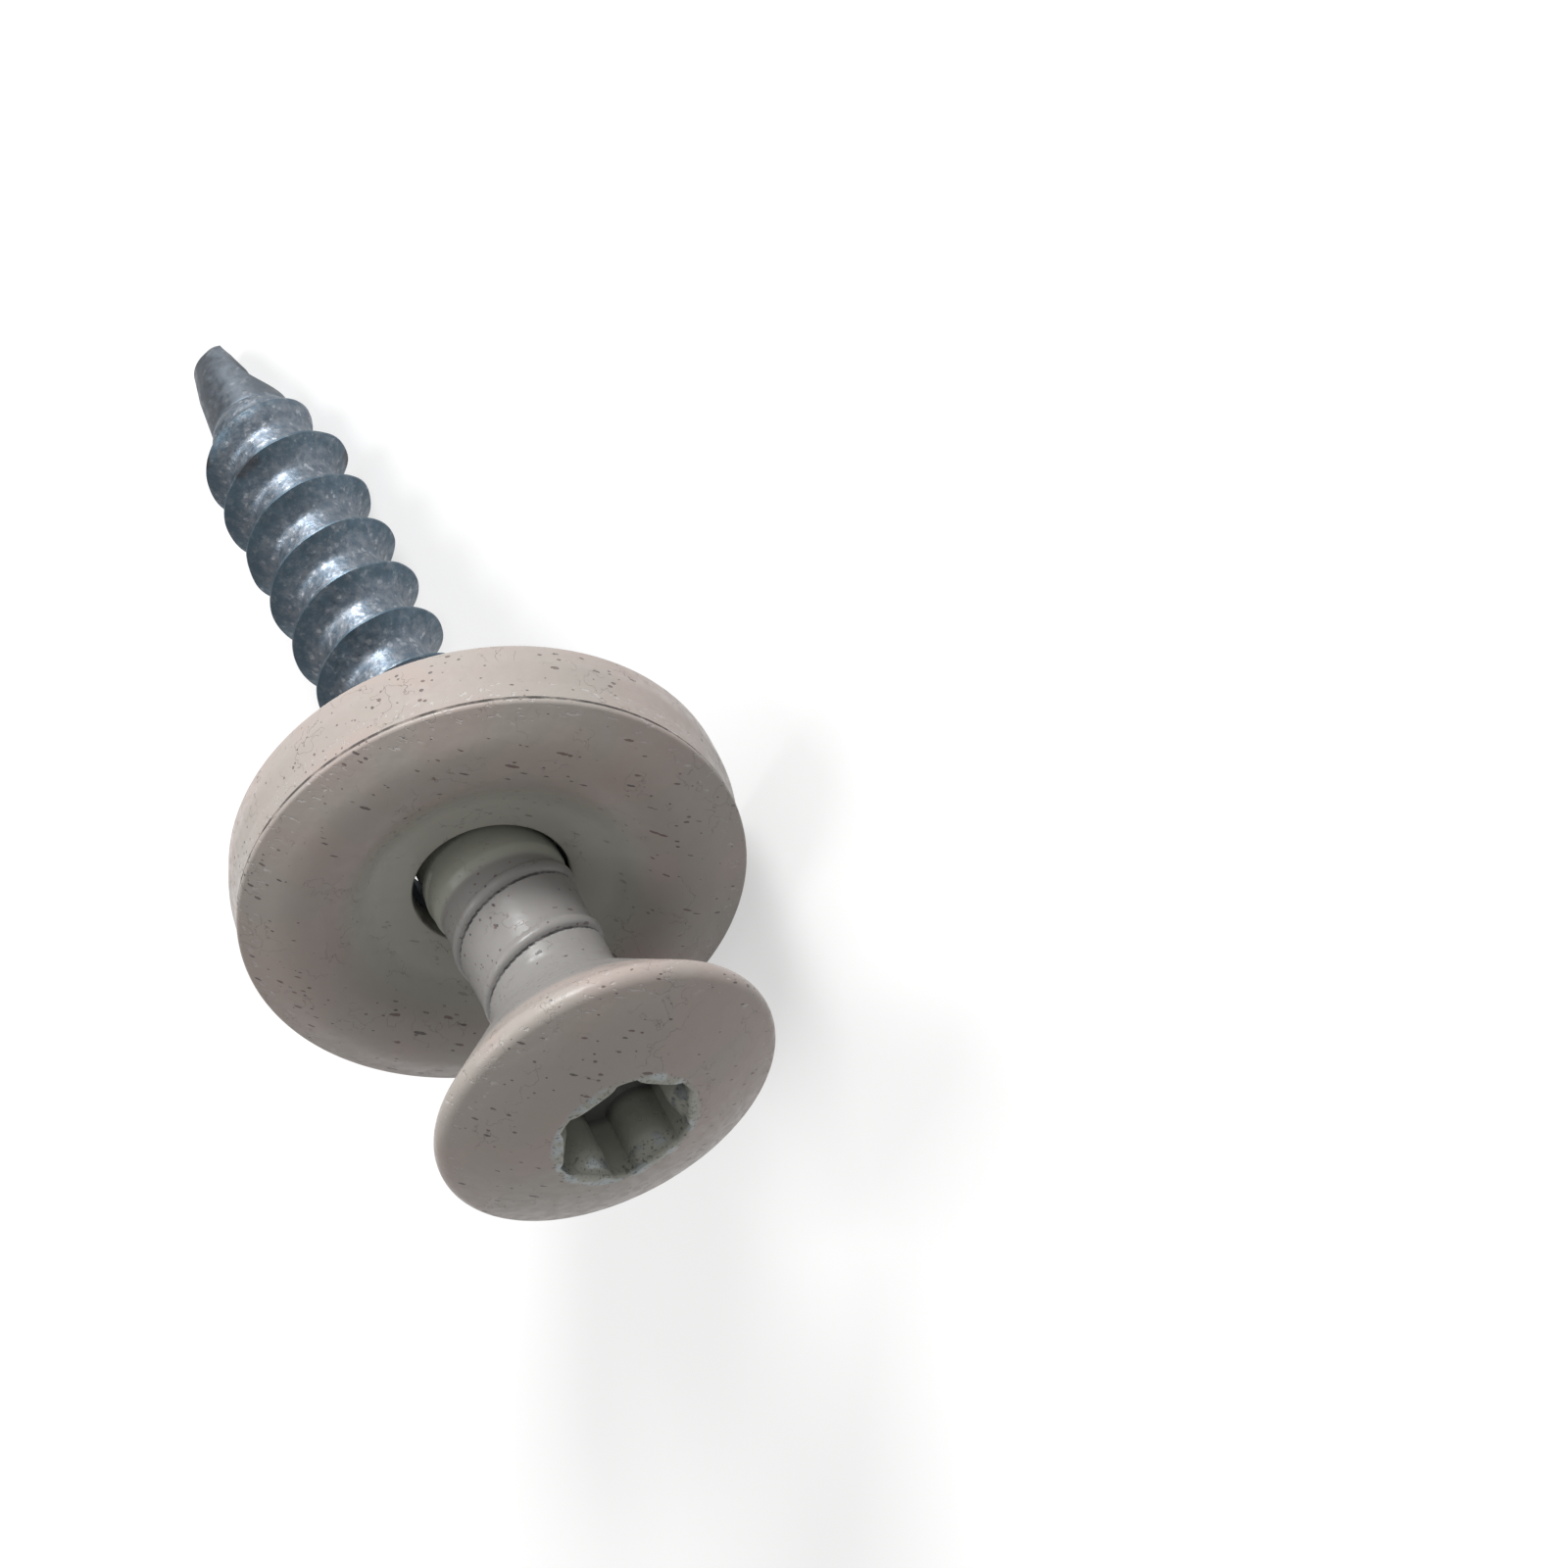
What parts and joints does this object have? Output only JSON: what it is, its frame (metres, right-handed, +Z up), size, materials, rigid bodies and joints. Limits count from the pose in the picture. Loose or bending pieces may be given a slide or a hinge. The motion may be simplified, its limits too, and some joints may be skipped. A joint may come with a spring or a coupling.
{
  "type": "roofing screw",
  "caption": "Self-drilling roofing screw with a raised countersunk six-lobe head, a coarse thread and a loose metal washer with a bonded rubber gasket, lying at rest.",
  "frame": {"origin": "middle of the part's box, on the ground that the screw lies on", "axes": "+X from the drill point towards the head, +Z up, +Y to the left when looking from the point to the head; the screw's axis rises 15.5 degrees from +X in the XZ plane"},
  "size_m": [0.0359, 0.0162, 0.0155],
  "materials": {
    "zinc_and_paint": "pale grey-white powder coat on the head and neck, blue-grey zinc plating on the thread and point",
    "washer_paint": "pale grey-white powder coat, satin, with fine brown specks and scratches",
    "gasket_rubber": "dark blue-grey rubber, its rim painted with the washer and its underside speckled with overspray"
  },
  "bodies": {
    "screw": {"screw": "zinc_and_paint"},
    "washer": {"metal_washer": "washer_paint", "sealing_gasket": "gasket_rubber"}
  },
  "joints": [
    {"name": "washer_slide", "type": "slide", "parent": "screw", "child": "washer", "axis": [0.9636, 0, 0.2673], "range_m": [-0.0015, 0.004]}
  ]
}
